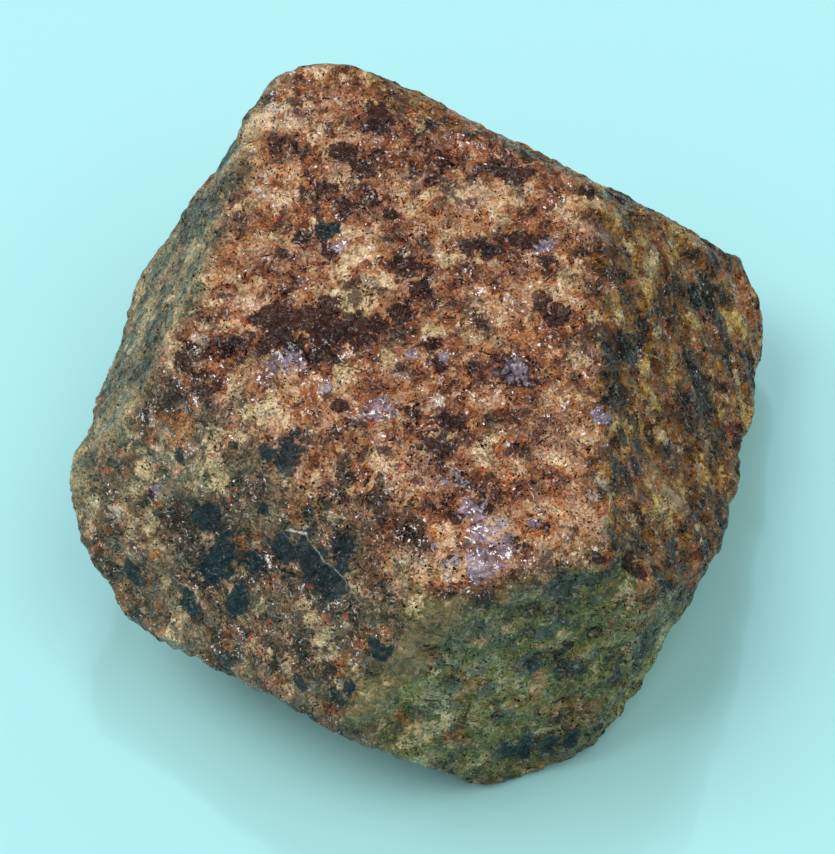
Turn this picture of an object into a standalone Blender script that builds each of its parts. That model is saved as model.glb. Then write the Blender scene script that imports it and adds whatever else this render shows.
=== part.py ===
"""Garnet crystal: one loose, worn rhombic dodecahedron, 50 mm across, resting on its base face.

Metres, +Z up. The origin is at the middle of the crystal's bounding box, on the surface that it rests on.

The solid starts as a block cut back by the twelve crystal faces and the worn facets along their edges. Its
corners are bevelled, it is remeshed into even cells, and its surface is then raised and lowered along its
normals: broad waviness, ledges where the crystal's layers meet each face, lumps of grains, chipped edges,
and the larger hollows and lumps one by one. Last of all it is cut off flat at the base, where it rests.
"""

import bmesh
import bpy
import numpy as np
from mathutils import Vector, noise

MM = 0.001

# The crystal's middle, from which its faces are measured, in the part's frame. It is level with the widest part.
MIDDLE = Vector((-1.26, 2.08, 11.3)) * MM

# Each crystal face: name, bearing in degrees anticlockwise from +X, rise in degrees above the horizon,
# and distance from the middle in mm. In a perfect rhombic dodecahedron the sloping faces have bearings
# of 35.3 degrees from the X axis and rise or dip by 30 degrees, and every distance is the same.
CRYSTAL_FACES = (
    ("top", -82.0, 80.8, 14.7),
    ("front", -93.0, 2.8, 21.6),
    ("front_left_upper", -149.6, 29.9, 18.6),
    ("front_right_upper", -27.1, 27.7, 17.5),
    ("back_left_upper", 145.4, 30.9, 19.2),
    ("back_right_upper", 33.0, 33.9, 19.5),
    ("back", 89.9, 1.7, 17.6),
    ("front_left_lower", -143.2, -29.6, 19.5),
    ("front_right_lower", -39.1, -29.0, 19.8),
    ("back_left_lower", 147.3, -36.0, 15.3),
    ("back_right_lower", 35.4, -29.1, 22.7),
    ("base", 0.0, -90.0, 11.3),
)

# Small faces of another form, in the same terms. One takes off the foot of the front face, and the other
# its right-hand corner.
SMALL_FACES = (
    ("front_foot", -92.8, -10.3, 23.0),
    ("front_right_corner", -58.3, -10.9, 21.6),
)

# Worn facets along edges: the faces on each side, and how deep the edge is worn away in mm.
WORN_EDGES = (
    ("front", "front_left_upper", 0.8),
    ("top", "front_left_upper", 0.9),
    ("top", "front", 0.35),
)

BLOCK_SIDE = 80 * MM
CORNER_BEVEL = 0.8 * MM
BEVEL_SEGMENTS = 2
CELL = 1.16 * MM
SPARE_BASE = 1.2 * MM  # stock left below the base until the last cut
CUT_SNAP = 0.35 * MM  # vertices this near the last cut move onto it, so that it leaves no slivers

# The normal of the layers that run right through the crystal, and how much longer than thick their features are.
LAYER_NORMAL = Vector((-0.31, -0.85, 0.43)).normalized()
LAYER_STRETCH = 3.0

WAVE_LENGTH = 16 * MM
WAVE_HEIGHT = 0.08 * MM
LEDGE_LENGTH = 11 * MM
LEDGE_HEIGHT = 0.34 * MM
LUMP_SIZE = 4.2 * MM
LUMP_HEIGHT = 0.45 * MM
LUMP_MIDDLE = 0.24  # the average gap between the nearest two Voronoi distances, so lumps add no thickness
CHIP_SIZE = 5.0 * MM
CHIP_DEPTH = 1.0 * MM
CHIP_REACH = 2.0 * MM  # how far from an edge a chip can bite
CHIP_START = 0.10

# Single hollows and lumps: place in mm from the middle, radius along the surface in mm, rise in mm.
HOLLOWS_AND_LUMPS = (
    ((-11.8, -0.3, 15.1), 1.0, -0.8),  # pit on the top face
    ((6.7, -21.1, 8.1), 1.5, -1.2),  # long pit on the corner of the front right face
    ((2.4, -21.5, 2.3), 1.3, -0.8),  # row of pits on the front face
    ((1.0, -21.7, -3.9), 1.1, -0.9),
    ((-10.8, -20.4, 2.9), 2.2, 0.5),  # lump on the worn front left edge
    ((-9.0, -20.8, 0.4), 1.3, -0.9),  # crevice below that lump
    ((-22.1, -4.7, -0.3), 2.2, -0.8),  # chips along the edges of the lower half
    ((25.1, 3.7, -1.2), 1.3, -0.4),
    ((7.3, -21.6, -1.5), 1.2, -0.6),
    ((0.0, 16.8, 17.5), 3.0, 0.7),  # lump on the rear corner of the top face
    ((15.0, 6.0, -8.5), 3.2, -0.9),  # broken hollows and lumps low on the back
    ((-9.5, 16.5, -3.0), 2.6, -0.9),
    ((6.0, 17.2, 2.5), 3.0, 0.5),
    ((-15.5, 10.5, -6.0), 2.4, 0.6),
)

COLOUR = (0.105, 0.052, 0.028, 1.0)
ROUGHNESS = 0.42


def clear_scene():
    """Takes out whatever the file opened with."""
    for leftover in list(bpy.data.objects):
        bpy.data.objects.remove(leftover)


def face_normal(bearing, rise):
    """The outward direction of a face from its bearing and rise in degrees."""
    bearing, rise = np.radians((bearing, rise))
    level = np.cos(rise)
    return Vector((level * np.cos(bearing), level * np.sin(bearing), np.sin(rise)))


def face_planes():
    """(outward normal, distance from the middle) of each crystal face, then of each worn facet."""
    planes = {
        name: (face_normal(bearing, rise), distance * MM)
        for name, bearing, rise, distance in (*CRYSTAL_FACES, *SMALL_FACES)
    }
    for first, second, depth in WORN_EDGES:
        (normal_a, distance_a), (normal_b, distance_b) = planes[first], planes[second]
        both = normal_a + normal_b
        to_edge = (distance_a + distance_b) / both.length
        planes[f"{first}_{second}"] = (both.normalized(), to_edge - depth * MM)
    return planes


def cut_away(solid, normal, distance, snap=0.0):
    """Takes off what lies beyond a plane and closes the cut with one flat face."""
    everything = solid.verts[:] + solid.edges[:] + solid.faces[:]
    cut = bmesh.ops.bisect_plane(
        solid,
        geom=everything,
        dist=snap,
        plane_co=normal * distance,
        plane_no=normal,
        use_snap_center=snap > 0,
        clear_outer=True,
    )
    rim = [item for item in cut["geom_cut"] if isinstance(item, bmesh.types.BMEdge)]
    bmesh.ops.contextual_create(solid, geom=rim)


def cut_block(planes):
    """A block around the middle, cut back by every plane but with spare stock at the base, and bevelled."""
    solid = bmesh.new()
    bmesh.ops.create_cube(solid, size=BLOCK_SIDE)
    for name, (normal, distance) in planes.items():
        cut_away(solid, normal, distance + (SPARE_BASE if name == "base" else 0.0))
    bmesh.ops.bevel(
        solid,
        geom=solid.edges[:],
        offset=CORNER_BEVEL,
        segments=BEVEL_SEGMENTS,
        profile=0.5,
        affect="EDGES",
        clamp_overlap=True,
    )
    bmesh.ops.recalc_face_normals(solid, faces=solid.faces[:])
    return solid


def remeshed(solid):
    """The solid as a mesh of even cells, by the Remesh modifier."""
    mesh = bpy.data.meshes.new("cut_crystal")
    solid.to_mesh(mesh)
    solid.free()
    blank = bpy.data.objects.new("cut_crystal", mesh)
    bpy.context.scene.collection.objects.link(blank)
    remesh = blank.modifiers.new("even cells", "REMESH")
    remesh.mode = "VOXEL"
    remesh.voxel_size = CELL
    graph = bpy.context.evaluated_depsgraph_get()
    even = bpy.data.meshes.new_from_object(blank.evaluated_get(graph))
    bpy.data.objects.remove(blank)
    return even


def edge_distance(point, planes):
    """How far a surface point is from the nearest edge: its depth under the second nearest plane."""
    depths = sorted(distance - normal.dot(point) for normal, distance in planes.values())
    return depths[1] - depths[0]


def relief(point, planes):
    """How far the surface stands proud of the flat faces at a point, in metres; below zero it is sunk."""
    wave = WAVE_HEIGHT * noise.noise(point / WAVE_LENGTH)
    across = LAYER_NORMAL * LAYER_NORMAL.dot(point)
    ledge = LEDGE_HEIGHT * noise.noise((point + across * (LAYER_STRETCH - 1)) / LEDGE_LENGTH)
    nearest, second = noise.voronoi(point / LUMP_SIZE)[0][:2]
    lump = LUMP_HEIGHT * (min(second - nearest, 2 * LUMP_MIDDLE) - LUMP_MIDDLE)
    near_edge = max(0.0, 1 - edge_distance(point, planes) / CHIP_REACH)
    chip = CHIP_DEPTH * near_edge * max(0.0, noise.noise(point / CHIP_SIZE) - CHIP_START)
    single = sum(
        rise * MM * np.exp(-(((point - Vector(place) * MM).length / (radius * MM)) ** 2))
        for place, radius, rise in HOLLOWS_AND_LUMPS
    )
    return wave + ledge + lump - chip + single


def raised(mesh, planes):
    """The remeshed crystal as a bmesh, each vertex moved along its normal by the relief."""
    solid = bmesh.new()
    solid.from_mesh(mesh)
    places = [vertex.co + vertex.normal * relief(vertex.co, planes) for vertex in solid.verts]
    for vertex, place in zip(solid.verts, places):
        vertex.co = place
    return solid


def garnet_material():
    """Dull brownish red garnet with a glassy skin."""
    material = bpy.data.materials.new("garnet")
    material.use_nodes = True
    shader = material.node_tree.nodes["Principled BSDF"]
    shader.inputs["Base Color"].default_value = COLOUR
    shader.inputs["Roughness"].default_value = ROUGHNESS
    shader.inputs["Metallic"].default_value = 0.0
    return material


def make_crystal():
    """The whole crystal as one object."""
    planes = face_planes()
    solid = raised(remeshed(cut_block(planes)), planes)
    cut_away(solid, *planes["base"], snap=CUT_SNAP)
    bmesh.ops.translate(solid, vec=MIDDLE, verts=solid.verts)
    mesh = bpy.data.meshes.new("garnet_crystal")
    solid.to_mesh(mesh)
    solid.free()
    mesh.materials.append(garnet_material())
    crystal = bpy.data.objects.new("garnet_crystal", mesh)
    bpy.context.scene.collection.objects.link(crystal)


def main():
    clear_scene()
    make_crystal()


main()
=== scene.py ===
"""Garnet crystal: the worn, granular surface of one loose crystal, its finish, and a plain studio around it.

Laid out as an add-on: two operators make the crystal and the stage, and a panel in the sidebar lists them.
Lengths in the tables are in millimetres from the crystal's middle. The scene itself is in metres, +Z up.
"""

from functools import partial

import bpy
import numpy as np
from mathutils import Matrix, Vector


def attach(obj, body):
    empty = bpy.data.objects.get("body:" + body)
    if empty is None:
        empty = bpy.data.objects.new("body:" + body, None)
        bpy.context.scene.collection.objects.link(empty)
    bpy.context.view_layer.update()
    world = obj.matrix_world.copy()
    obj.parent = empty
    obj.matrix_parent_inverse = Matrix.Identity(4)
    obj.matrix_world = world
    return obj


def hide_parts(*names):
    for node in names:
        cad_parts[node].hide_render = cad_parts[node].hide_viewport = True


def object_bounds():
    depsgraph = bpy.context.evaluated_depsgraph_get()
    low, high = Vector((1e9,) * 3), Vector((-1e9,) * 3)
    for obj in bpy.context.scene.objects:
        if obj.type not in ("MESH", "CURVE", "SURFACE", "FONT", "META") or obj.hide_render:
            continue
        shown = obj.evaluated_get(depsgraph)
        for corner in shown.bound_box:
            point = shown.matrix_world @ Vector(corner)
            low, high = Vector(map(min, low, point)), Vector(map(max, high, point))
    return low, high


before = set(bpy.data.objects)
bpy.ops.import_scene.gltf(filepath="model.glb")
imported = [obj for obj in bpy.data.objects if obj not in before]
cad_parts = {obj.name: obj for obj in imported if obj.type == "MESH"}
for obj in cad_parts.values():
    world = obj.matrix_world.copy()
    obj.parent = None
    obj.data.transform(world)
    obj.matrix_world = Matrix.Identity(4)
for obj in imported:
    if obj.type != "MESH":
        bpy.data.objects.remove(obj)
CAD_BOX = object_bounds()

bl_info = {
    "name": "Garnet crystal",
    "version": (1, 0, 0),
    "blender": (4, 5, 0),
    "location": "View3D > Sidebar > Garnet",
    "description": "Makes a worn garnet crystal and a plain studio for it",
    "category": "Add Mesh",
}

MM = 0.001
MIDDLE = np.array((-1.26, 2.08, 11.3))  # the crystal's middle in the frame, in mm

# Each crystal face: name, bearing in degrees anticlockwise from +X, rise in degrees above the horizon,
# distance from the middle in mm, and the family of colours that the layers show on it.
FACES = (
    ("top", -82.0, 80.8, 14.7, "red"),
    ("front", -93.0, 2.8, 21.6, "green"),
    ("front_left_upper", -149.6, 29.9, 18.6, "olive"),
    ("front_right_upper", -27.1, 27.7, 17.5, "brown"),
    ("back_left_upper", 145.4, 30.9, 19.2, "grey"),
    ("back_right_upper", 33.0, 33.9, 19.5, "brown"),
    ("back", 89.9, 1.7, 17.6, "red"),
    ("front_left_lower", -143.2, -29.6, 19.5, "olive"),
    ("front_right_lower", -39.1, -29.0, 19.8, "green"),
    ("back_left_lower", 147.3, -36.0, 15.3, "olive"),
    ("back_right_lower", 35.4, -29.1, 22.7, "brown"),
    ("base", 0.0, -90.0, 11.3, "olive"),
    ("front_foot", -92.8, -10.3, 23.0, "green"),
    ("front_right_corner", -58.3, -10.9, 21.6, "green"),
)

# Worn facets along edges: the faces on each side, how deep the edge is worn away in mm, the colours, and
# whether the facet shows as a smooth band.
WORN_EDGES = (
    ("front", "front_left_upper", 0.8, "green", True),
    ("top", "front_left_upper", 0.9, "red", False),
    ("top", "front", 0.35, "green", True),
)

# The families of colours with a share of their own at each point. The rest is olive.
SHARED = ("red", "green", "brown", "grey")

# The normal of the layers that run right through the crystal.
LAYER_NORMAL = np.array((-0.31, -0.85, 0.43))
LAYER_NORMAL /= np.linalg.norm(LAYER_NORMAL)

# The way that the grains are drawn out, as in rock that was squeezed, and how many times longer they are.
GRAIN_WAY = np.array((-0.164, -0.572, 0.804))
DRAWN_OUT = 2.0

# Relief, as noise: the size of its features in mm, its octaves, its salt, and its height in mm.
LEDGES = {"size": 6.0, "octaves": 3, "salt": 11, "height": 0.2}
RIDGES = {"size": 2.4, "octaves": 2, "salt": 23, "height": 0.11}
BUMPS = {"size": 2.4, "octaves": 2, "salt": 29, "height": 0.11}
CRUMBS = {"size": 0.7, "octaves": 1, "salt": 71, "height": 0.03}
CHIPS = {"size": 4.0, "octaves": 3, "salt": 83}
CHIP_START = 0.15  # how high the chips' noise has to be before they bite
LEDGE_STRETCH = 3.0  # how much longer than thick the ledges and the ridges are
RIDGE_STRETCH = 4.0

# Grains in relief: size as a share of the coarse grain, how much longer than thick they are, salt, height of
# their domes, and how far in mm one grain may stand above another.
GRAIN_RELIEF = ((1.0, 1.5, 41, 0.3, 0.16), (0.5, 1.0, 57, 0.18, 0.12))
DOME_RIM = 0.5  # how far a dome rises inwards from its rim, as a share of a grain

# Borders between the families of colours and around the smooth bands: how far in mm they wander, and how soft
# they are.
FAMILY_WANDER = 1.1
FAMILY_SOFTNESS = 0.35
BAND_WANDER = 0.3
BAND_SOFTNESS = 0.1

# Single hollows and lumps: place, radius along the surface and rise, in mm.
HOLLOWS_AND_LUMPS = (
    ((-11.8, -0.3, 15.1), 0.55, -0.75),  # pit on the top face
    ((6.7, -21.1, 8.1), 1.1, -1.0),  # long pit on the corner of the front right face
    ((11.3, -18.4, 3.2), 0.7, -0.5),
    ((2.2, -21.3, 2.4), 0.5, -0.7),  # row of pits on the front face
    ((3.7, -21.3, 3.3), 0.5, -0.7),
    ((1.2, -21.3, 1.6), 0.45, -0.5),
    ((1.0, -21.7, -3.9), 0.8, -0.8),
    ((-10.8, -20.4, 2.9), 2.2, 0.5),  # lump on the worn front left edge
    ((-9.0, -20.8, 0.4), 1.2, -0.9),  # crevice below that lump
    ((-22.1, -4.7, -0.3), 2.2, -0.8),  # chips along the edges of the lower half
    ((25.1, 3.7, -1.2), 1.0, -0.5),
    ((7.3, -21.6, -1.5), 1.0, -0.6),
    ((0.0, 16.8, 17.5), 3.0, 0.7),  # lump on the rear corner of the top face
    ((15.0, 6.0, -8.5), 3.2, -0.9),  # broken hollows and lumps low on the back
    ((-9.5, 16.5, -3.0), 2.6, -0.9),
    ((6.0, 17.2, 2.5), 3.0, 0.5),
    ((-15.5, 10.5, -6.0), 2.4, 0.6),
)

# How much shorter the patches of each mineral are across the layers than along them.
SQUEEZES = {"glassy": 1.2, "black": 1.4, "violet": 1.35, "pale": 1.4, "rust": 1.6, "white": 1.3, "pink": 1.3}
SQUEEZES |= {"ashen": 1.2, "teal": 1.4, "lilac_sheen": 1.4, "glints": 1.4}

# Where the minerals show as patches: place from the middle and radius, in mm.
PATCHES = {
    "glassy": (  # dark, glassy hornblende
        (-11.2, -8.0, 13.6, 1.6), (-11.8, -7.1, 13.5, 1.0), (-16.2, -6.5, 7.4, 1.3), (-16.5, -5.6, 7.7, 0.7),
        (-16.0, -8.3, 6.1, 1.4), (-16.8, -8.6, 4.6, 1.6), (-16.4, -10.3, 3.7, 1.2), (-14.6, -10.0, 6.6, 0.8),
        (-11.4, -12.9, 9.0, 1.6), (-10.8, -14.4, 8.4, 1.6), (-9.8, -13.9, 10.4, 1.0),
        (-12.8, -11.3, 8.1, 0.9), (-21.5, -4.3, 1.4, 0.9), (-18.8, -8.3, 1.8, 0.9), (-13.5, -4.3, 13.4, 0.4),
        (-16.4, -3.1, 10.1, 0.5), (-13.1, -9.0, 9.7, 0.6), (-11.9, -18.8, 3.0, 0.7), (-10.7, -19.3, 4.4, 0.4),
        (-9.6, -19.1, 6.1, 0.7), (-14.3, -16.5, 1.4, 0.5), (-2.9, 5.4, 15.8, 0.7), (-6.0, 16.4, 13.5, 1.6),
        (-2.4, -21.9, -6.9, 0.9), (-1.3, -21.9, -7.2, 1.2), (-0.1, -22.0, -7.3, 1.2), (1.4, -22.1, -7.2, 0.9),
        (-0.5, -21.5, 1.7, 0.6),
    ),
    "black": (
        (13.6, -5.9, 9.4, 0.8), (12.2, -7.6, 10.3, 1.1), (10.3, -9.2, 12.1, 0.9), (8.0, -12.9, 12.6, 0.6),
        (10.6, -11.9, 9.3, 1.1), (10.4, -13.2, 8.5, 0.6), (8.3, -15.3, 10.2, 1.2), (8.4, -16.1, 9.4, 0.8),
        (5.7, -20.3, 10.4, 0.7), (21.4, -0.3, 1.1, 1.4), (21.3, -1.3, 0.3, 0.9), (21.4, 1.2, 2.3, 1.2),
        (24.7, 4.5, -0.3, 0.8), (18.0, -6.0, 1.8, 1.5), (17.1, -6.1, 3.3, 0.8), (18.1, -6.9, 0.9, 1.1),
        (23.3, -2.1, -3.8, 0.9), (17.3, -9.2, 0.3, 1.2), (18.7, -10.0, -2.9, 0.7), (16.2, 1.3, 11.2, 0.7),
        (9.1, 5.8, 15.6, 0.8), (-7.1, -12.4, 13.0, 1.4), (-6.5, -14.0, 12.8, 1.3), (-6.0, -15.5, 12.5, 1.2),
        (-5.5, -16.9, 12.3, 0.9), (-17.0, -8.6, 4.3, 2.1), (-15.9, -10.4, 4.4, 1.6), (-17.5, -6.6, 5.3, 1.4),
        (-14.7, -10.3, 6.3, 1.2), (-8.0, -10.9, 13.3, 0.9), (10.3, -10.4, 11.0, 0.9), (10.4, -8.1, 12.9, 0.7),
        (-12.4, -17.4, 3.4, 0.7), (-18.8, -8.6, 1.5, 1.0), (-17.8, -4.9, 6.3, 1.0),
    ),
    "violet": (
        (-7.5, -0.1, 15.0, 2.1), (-6.1, -1.9, 14.7, 1.7), (-4.2, -1.7, 14.7, 1.5), (-8.3, 0.8, 15.2, 1.4),
        (-5.6, -0.2, 15.0, 1.4), (-7.5, -1.9, 14.7, 1.1), (-2.4, -1.8, 14.6, 0.9), (0.1, -5.8, 13.9, 0.9),
        (-0.0, -4.5, 14.2, 0.8), (4.4, -8.2, 13.5, 1.3), (-2.2, -11.2, 13.1, 1.1), (-0.7, -10.1, 13.3, 0.8),
        (1.0, 1.0, 15.0, 1.2), (1.1, -0.4, 14.8, 0.8), (9.1, -1.8, 14.4, 1.1), (8.3, -5.2, 13.9, 0.9),
        (9.7, -0.3, 14.6, 0.8), (8.3, 0.4, 14.8, 0.8), (5.4, 1.0, 14.9, 1.0), (6.4, 0.2, 14.8, 0.8),
        (1.5, 5.1, 15.7, 0.5), (-3.2, 4.1, 15.6, 0.9), (3.5, 12.6, 16.8, 0.8), (-2.0, 8.3, 16.3, 1.1),
        (0.4, 10.6, 16.6, 0.8), (-2.7, 9.7, 16.5, 0.5), (9.9, 4.9, 15.4, 1.0), (3.2, 11.5, 16.7, 0.8),
        (-0.6, -1.6, 14.6, 0.8), (-4.4, -18.9, 11.9, 0.9), (-0.4, -18.7, 11.9, 0.5), (1.7, -18.5, 11.9, 0.5),
        (-4.6, 5.5, 15.9, 0.5), (1.1, 8.9, 16.3, 0.8), (6.3, 10.7, 16.5, 0.5), (-6.7, -6.4, 14.0, 0.5),
        (4.3, -21.4, 10.5, 0.5), (6.8, -20.8, 7.9, 1.2), (6.8, -21.4, 7.6, 0.6), (10.3, -18.5, 4.1, 1.1),
        (-11.7, -0.1, 15.1, 0.5), (2.1, -21.6, 2.7, 0.5), (3.5, -21.7, 3.6, 0.5), (1.1, -21.6, 2.2, 0.5),
        (0.8, -21.8, -2.9, 0.5), (-2.8, -15.7, 12.4, 0.5), (-0.9, -16.1, 12.3, 0.5), (7.0, 7.3, 15.9, 0.5),
        (-6.1, 5.0, 15.8, 0.5), (13.8, 2.2, 14.9, 0.5), (9.0, -13.4, 10.6, 0.6), (9.4, -14.9, 8.7, 0.7),
        (-18.5, -2.8, 7.2, 0.4), (-11.1, -6.1, 14.1, 0.3),
    ),
    "pale": (
        (-3.4, 0.1, 15.0, 1.2), (-3.0, -1.1, 14.8, 0.6), (0.6, -3.5, 14.3, 0.8), (2.7, -4.8, 14.0, 0.8),
        (3.3, 0.7, 14.9, 0.8), (5.9, -0.4, 14.7, 0.5), (10.2, -3.2, 14.1, 1.0), (10.3, -6.2, 13.6, 0.7),
        (0.2, -13.0, 12.8, 0.8), (-2.9, -4.5, 14.2, 0.8), (-5.7, -4.1, 14.3, 0.8), (0.9, 2.0, 15.2, 0.5),
        (-1.6, 4.6, 15.7, 0.6), (5.6, 10.5, 16.4, 0.6), (2.8, 13.2, 16.9, 0.5), (2.3, 15.4, 17.3, 0.5),
        (-2.2, 13.5, 17.1, 0.5), (-1.0, 13.0, 17.0, 0.5), (-0.9, 11.1, 16.7, 0.6), (-6.9, 8.9, 16.5, 0.6),
        (-6.0, 6.3, 16.0, 0.5), (-9.2, 3.9, 15.7, 0.8), (-2.9, 2.2, 15.3, 0.6), (4.4, 5.9, 15.7, 0.7),
        (5.6, 5.1, 15.6, 0.5), (-14.9, 1.1, 15.4, 1.0), (-11.0, -4.6, 14.4, 1.0), (-12.1, -5.7, 14.2, 0.7),
        (-14.5, -4.3, 11.8, 0.8), (-14.6, -5.0, 11.0, 0.7), (-15.1, -5.6, 9.9, 1.0), (-19.2, -3.5, 5.6, 0.9),
        (-19.3, -4.0, 4.9, 0.5), (-18.6, -1.7, 8.0, 0.8), (-12.6, -14.2, 6.0, 0.7), (-12.4, -14.9, 5.6, 0.7),
        (-15.1, -11.9, 4.3, 0.7), (-15.6, -13.9, 1.8, 0.9), (-14.7, -15.1, 2.0, 0.7),
        (-16.2, -12.8, 1.8, 0.6), (-7.4, -19.3, 9.4, 0.7), (-6.1, -20.9, 9.1, 0.7), (-9.6, -13.0, 11.5, 0.8),
        (-21.9, -5.2, 0.0, 0.7), (-21.9, -6.0, -0.7, 0.5), (-17.2, -6.6, 5.8, 0.6), (-19.8, -6.1, 2.3, 0.6),
        (-12.4, -16.2, 4.6, 0.7), (-12.1, -17.1, 4.2, 0.7), (15.0, -5.1, 7.7, 0.8), (11.4, -15.2, 5.1, 1.1),
        (10.4, -16.6, 5.6, 0.7), (12.8, -11.6, 5.8, 0.7), (12.7, -16.3, 2.0, 0.7), (7.7, -18.1, 8.8, 0.6),
        (5.7, -21.7, 6.2, 0.9), (1.7, -21.5, 4.2, 0.6), (0.9, -21.9, -4.0, 0.7), (-7.9, -21.3, -1.6, 1.3),
        (-0.2, -21.9, -5.8, 0.6), (21.3, -3.6, -1.6, 0.7), (17.5, 0.2, 8.0, 0.8), (15.1, -0.4, 11.6, 0.6),
        (10.1, -8.0, 13.4, 0.6), (8.7, -9.0, 13.2, 0.5), (9.4, 3.1, 15.2, 0.5), (14.1, 1.3, 14.8, 0.9),
    ),
    "rust": (
        (5.6, -6.1, 13.8, 1.0), (6.3, -7.4, 13.5, 0.7), (3.2, -11.3, 13.0, 1.2), (1.9, -12.3, 12.9, 0.7),
        (1.1, -15.8, 12.3, 1.2), (1.1, -18.4, 11.9, 1.2), (-4.5, -16.2, 12.4, 0.9), (-11.9, -0.4, 15.1, 1.1),
        (-5.9, 7.8, 16.3, 0.9), (-4.1, 6.8, 16.1, 0.8), (3.1, 9.1, 16.3, 0.7), (4.7, 6.7, 15.9, 0.6),
        (6.0, 2.2, 15.1, 0.9), (8.5, 1.0, 14.8, 0.9), (11.0, 0.3, 14.7, 0.8), (4.9, -16.1, 12.2, 0.5),
        (-16.0, -2.2, 11.5, 1.4), (-20.7, 0.3, 6.6, 0.7), (-18.5, -3.5, 6.4, 0.5), (-19.8, -4.9, 3.4, 0.5),
        (-10.1, -18.2, 6.2, 0.8), (-11.9, -17.9, 3.7, 0.7), (-11.9, -13.7, 7.5, 0.6),
        (-11.5, -10.7, 10.6, 0.9), (24.9, 3.3, -1.8, 2.1), (24.4, 1.4, -2.6, 1.9), (17.6, -1.7, 6.2, 0.8),
        (17.0, -3.5, 5.6, 0.7), (22.2, -1.6, -1.4, 0.7), (16.8, -11.2, -0.5, 0.7), (14.4, -14.1, 0.8, 0.7),
        (14.1, -16.3, -0.5, 0.8), (13.7, -3.5, 11.4, 0.6), (11.4, -10.9, 8.7, 0.7), (7.4, -21.5, 6.3, 1.3),
        (8.8, -20.1, 5.2, 1.1), (0.0, -11.0, 13.1, 0.7), (-3.6, -8.7, 13.6, 0.7), (-8.3, -9.1, 13.6, 0.7),
        (-6.2, -21.5, -2.7, 0.8), (-5.5, -21.5, -3.7, 0.6), (-3.4, -21.2, 6.2, 0.6), (3.4, -17.3, 12.0, 0.6),
        (-14.8, -8.8, 7.4, 0.7), (-7.6, -20.9, 6.3, 0.7),
    ),
    "white": (
        (-13.0, 1.1, 15.3, 0.7), (-2.7, 14.9, 17.3, 0.6), (6.5, -17.1, 11.7, 0.9), (5.6, -17.8, 11.9, 0.6),
        (-21.2, -1.3, 4.5, 0.7), (-5.2, 10.7, 16.7, 0.5), (-6.1, 9.9, 16.6, 0.6), (-16.8, 0.2, 12.3, 0.6),
        (-17.4, -0.1, 11.2, 0.5), (-18.4, 0.7, 10.4, 0.5), (-1.7, -14.1, 12.6, 0.6), (-1.9, -13.0, 12.8, 0.5),
        (-9.7, -19.7, 5.5, 0.3), (-7.6, -16.9, 11.1, 0.4), (-0.7, -8.2, 13.6, 0.3), (-1.2, -8.5, 13.5, 0.3),
        (7.1, -14.9, 12.3, 0.4), (-11.5, -11.5, 9.9, 0.4), (-17.6, -6.0, 5.7, 0.4), (-12.2, -18.3, 3.0, 0.4),
        (-3.8, -3.5, 14.4, 0.3), (-2.3, -5.6, 14.0, 0.5), (5.9, -1.9, 14.4, 0.4), (-9.2, -2.8, 14.6, 0.4),
    ),
    "pink": (
        (-1.8, -20.4, 11.6, 1.1), (0.6, -20.6, 11.5, 1.0), (2.9, -20.9, 11.4, 0.9), (-3.7, -20.8, 11.6, 0.9),
        (5.2, -20.0, 11.4, 1.3), (-3.1, -12.5, 12.9, 2.6), (-5.7, -12.8, 12.9, 1.5), (5.1, -12.8, 12.7, 2.3),
        (4.3, -17.6, 11.9, 2.0), (-1.4, 13.7, 17.1, 1.2), (-7.3, 5.6, 16.0, 2.0), (-9.4, 2.6, 15.5, 2.0),
        (13.2, -0.7, 14.5, 1.5), (6.4, 4.3, 15.4, 1.5), (6.6, -3.6, 14.2, 1.5), (0.9, 14.4, 17.2, 1.2),
    ),
    "ashen": (
        (-13.0, -7.0, 11.6, 2.8), (-9.5, -11.9, 12.7, 2.5), (-9.8, -7.8, 13.8, 1.4), (-14.9, -3.3, 12.2, 1.8),
        (-14.7, -11.4, 5.3, 2.8), (-10.2, -16.1, 7.9, 2.8), (-7.0, -17.2, 11.7, 2.0), (-17.4, -3.3, 8.3, 1.8),
        (-18.4, -6.4, 4.2, 2.1), (-9.0, -18.2, 7.8, 2.5), (-20.8, -6.2, 0.8, 1.8), (-12.2, -3.9, 14.5, 1.2),
    ),
    "teal": (
        (1.5, -21.3, 8.9, 1.1), (3.2, -21.4, 9.3, 0.9), (0.4, -21.4, 5.0, 1.0), (-0.5, -21.5, 2.1, 1.3),
        (0.9, -21.4, 6.5, 0.6), (-3.6, -21.1, 7.9, 0.8), (-5.1, -21.0, 6.5, 0.8), (-6.4, -21.1, 4.8, 0.7),
        (-3.8, -21.3, 3.9, 1.0), (-3.6, -21.4, 0.8, 0.9), (-2.8, -21.6, -2.3, 0.9), (-1.6, -21.6, -1.6, 0.7),
        (2.2, -21.7, 0.8, 0.8), (3.3, -21.8, 1.4, 0.6), (6.1, -20.7, -5.8, 1.5), (-0.7, -22.0, -7.3, 2.0),
        (-3.3, -21.8, -6.6, 1.1), (3.2, -22.2, -7.4, 1.1), (-8.1, -21.2, 0.5, 0.9), (-6.7, -21.2, 0.9, 0.7),
        (7.6, -20.3, -3.8, 0.7), (-6.0, 14.7, 15.2, 1.5), (-11.8, 13.1, 8.7, 1.1), (-10.2, 11.4, 12.4, 1.2),
        (-12.0, 4.5, 15.9, 0.7), (-12.9, 3.1, 15.7, 0.5), (-14.9, 6.7, 10.5, 1.5), (-16.0, 9.0, 6.8, 1.5),
        (-9.0, 9.9, 15.6, 1.0), (-17.4, 5.5, 8.1, 1.2), (-19.4, 3.5, 7.3, 1.1), (-19.5, 0.7, 8.8, 0.8),
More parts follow.
